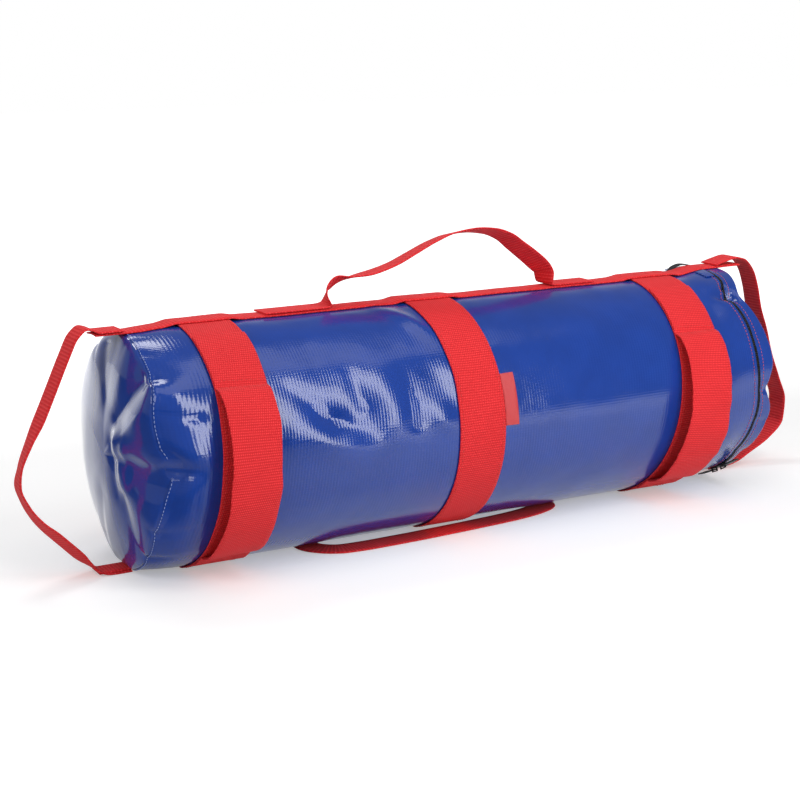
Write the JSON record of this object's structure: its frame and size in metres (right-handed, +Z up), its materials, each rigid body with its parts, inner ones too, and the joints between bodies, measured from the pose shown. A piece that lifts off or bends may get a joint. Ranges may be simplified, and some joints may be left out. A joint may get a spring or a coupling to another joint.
{
  "type": "weighted bag",
  "caption": "Sand-filled training bag of coated fabric with webbing bands, hand grips, carrying handles, end loops and a zipped round lid",
  "frame": {"origin": "on the floor under the middle band, at the middle of the flat underside of the bottom webbing", "axes": "+X along the bag towards the zipped lid, +Y to the back, away from the band handles, +Z up to the top handle"},
  "size_m": [0.8644, 0.2384, 0.2824],
  "materials": {
    "blue_vinyl": "glossy coated fabric",
    "red_webbing": "ribbed woven webbing",
    "red_satin": "satin ribbon",
    "black_tape": "woven zip tape",
    "black_metal": "black lacquer",
    "grey_canvas": "plain canvas",
    "sand": "loose sand",
    "white_cord": "braided cord"
  },
  "bodies": {
    "bag": {"body_tube": "blue_vinyl", "end_panel": "blue_vinyl", "left_band": "red_webbing", "middle_band": "red_webbing", "right_band": "red_webbing", "label_tag": "red_satin", "left_band_handle": "red_webbing", "right_band_handle": "red_webbing", "top_webbing": "red_webbing", "bottom_webbing": "red_webbing", "top_handle_foot_left": "red_webbing", "top_handle_foot_right": "red_webbing", "bottom_handle_foot_left": "red_webbing", "bottom_handle_foot_right": "red_webbing", "zip_tape_body": "black_tape", "zip_end_tab_front": "blue_vinyl", "zip_end_tab_back": "blue_vinyl", "sand_bag_1_skin": "grey_canvas", "sand_bag_1_sand": "sand", "sand_bag_1_tie": "white_cord", "sand_bag_2_skin": "grey_canvas", "sand_bag_2_sand": "sand", "sand_bag_2_tie": "white_cord", "sand_bag_3_skin": "grey_canvas", "sand_bag_3_sand": "sand", "sand_bag_3_tie": "white_cord", "sand_bag_4_skin": "grey_canvas", "sand_bag_4_sand": "sand", "sand_bag_4_tie": "white_cord"},
    "top_handle": {"top_handle_strap": "red_webbing"},
    "bottom_handle": {"bottom_handle_strap": "red_webbing"},
    "left_loop": {"left_loop_strap": "red_webbing"},
    "lid": {"lid_gusset": "blue_vinyl", "lid_panel": "blue_vinyl", "zip_tape_lid": "black_tape", "lid_strap_top": "red_webbing", "lid_strap_bottom": "red_webbing"},
    "right_loop": {"right_loop_strap": "red_webbing"},
    "slider_front": {"zip_slider_front": "black_metal"},
    "slider_back": {"zip_slider_back": "black_metal"},
    "pull_front": {"zip_pull_front": "black_metal"},
    "pull_back": {"zip_pull_back": "black_metal"}
  },
  "joints": [
    {"name": "top_handle_swing", "type": "hinge", "parent": "bag", "child": "top_handle", "pos_m": [0, 0, 0.2322], "axis": [1, 0, 0], "range_deg": [-90, 90]},
    {"name": "bottom_handle_swing", "type": "hinge", "parent": "bag", "child": "bottom_handle", "pos_m": [0, 0, 0.0011], "axis": [1, 0, 0], "range_deg": [0, 180]},
    {"name": "left_loop_swing", "type": "hinge", "parent": "bag", "child": "left_loop", "pos_m": [-0.319, 0, 0.0008], "axis": [0, 0, 1], "range_deg": [-65, 65]},
    {"name": "lid_hinge", "type": "hinge", "parent": "bag", "child": "lid", "pos_m": [0.333, 0, 0.22304], "axis": [0, -1, 0], "range_deg": [0, 100]},
    {"name": "right_loop_swing", "type": "hinge", "parent": "lid", "child": "right_loop", "pos_m": [0.366, 0, 0.0045], "axis": [0, 0, 1], "range_deg": [-65, 65]},
    {"name": "zip_front_run", "type": "hinge", "parent": "bag", "child": "slider_front", "pos_m": [0.333, 0, 0.1143], "axis": [-1, 0, 0], "range_deg": [0, 125]},
    {"name": "zip_back_run", "type": "hinge", "parent": "bag", "child": "slider_back", "pos_m": [0.333, 0, 0.1143], "axis": [1, 0, 0], "range_deg": [0, 179]},
    {"name": "pull_front_swing", "type": "hinge", "parent": "slider_front", "child": "pull_front", "pos_m": [0.333, -0.05689, 0.01962], "axis": [1, 0, 0], "range_deg": [0, 100]},
    {"name": "pull_back_swing", "type": "hinge", "parent": "slider_back", "child": "pull_back", "pos_m": [0.333, -0.04405, 0.013], "axis": [-1, 0, 0], "range_deg": [0, 100]}
  ]
}
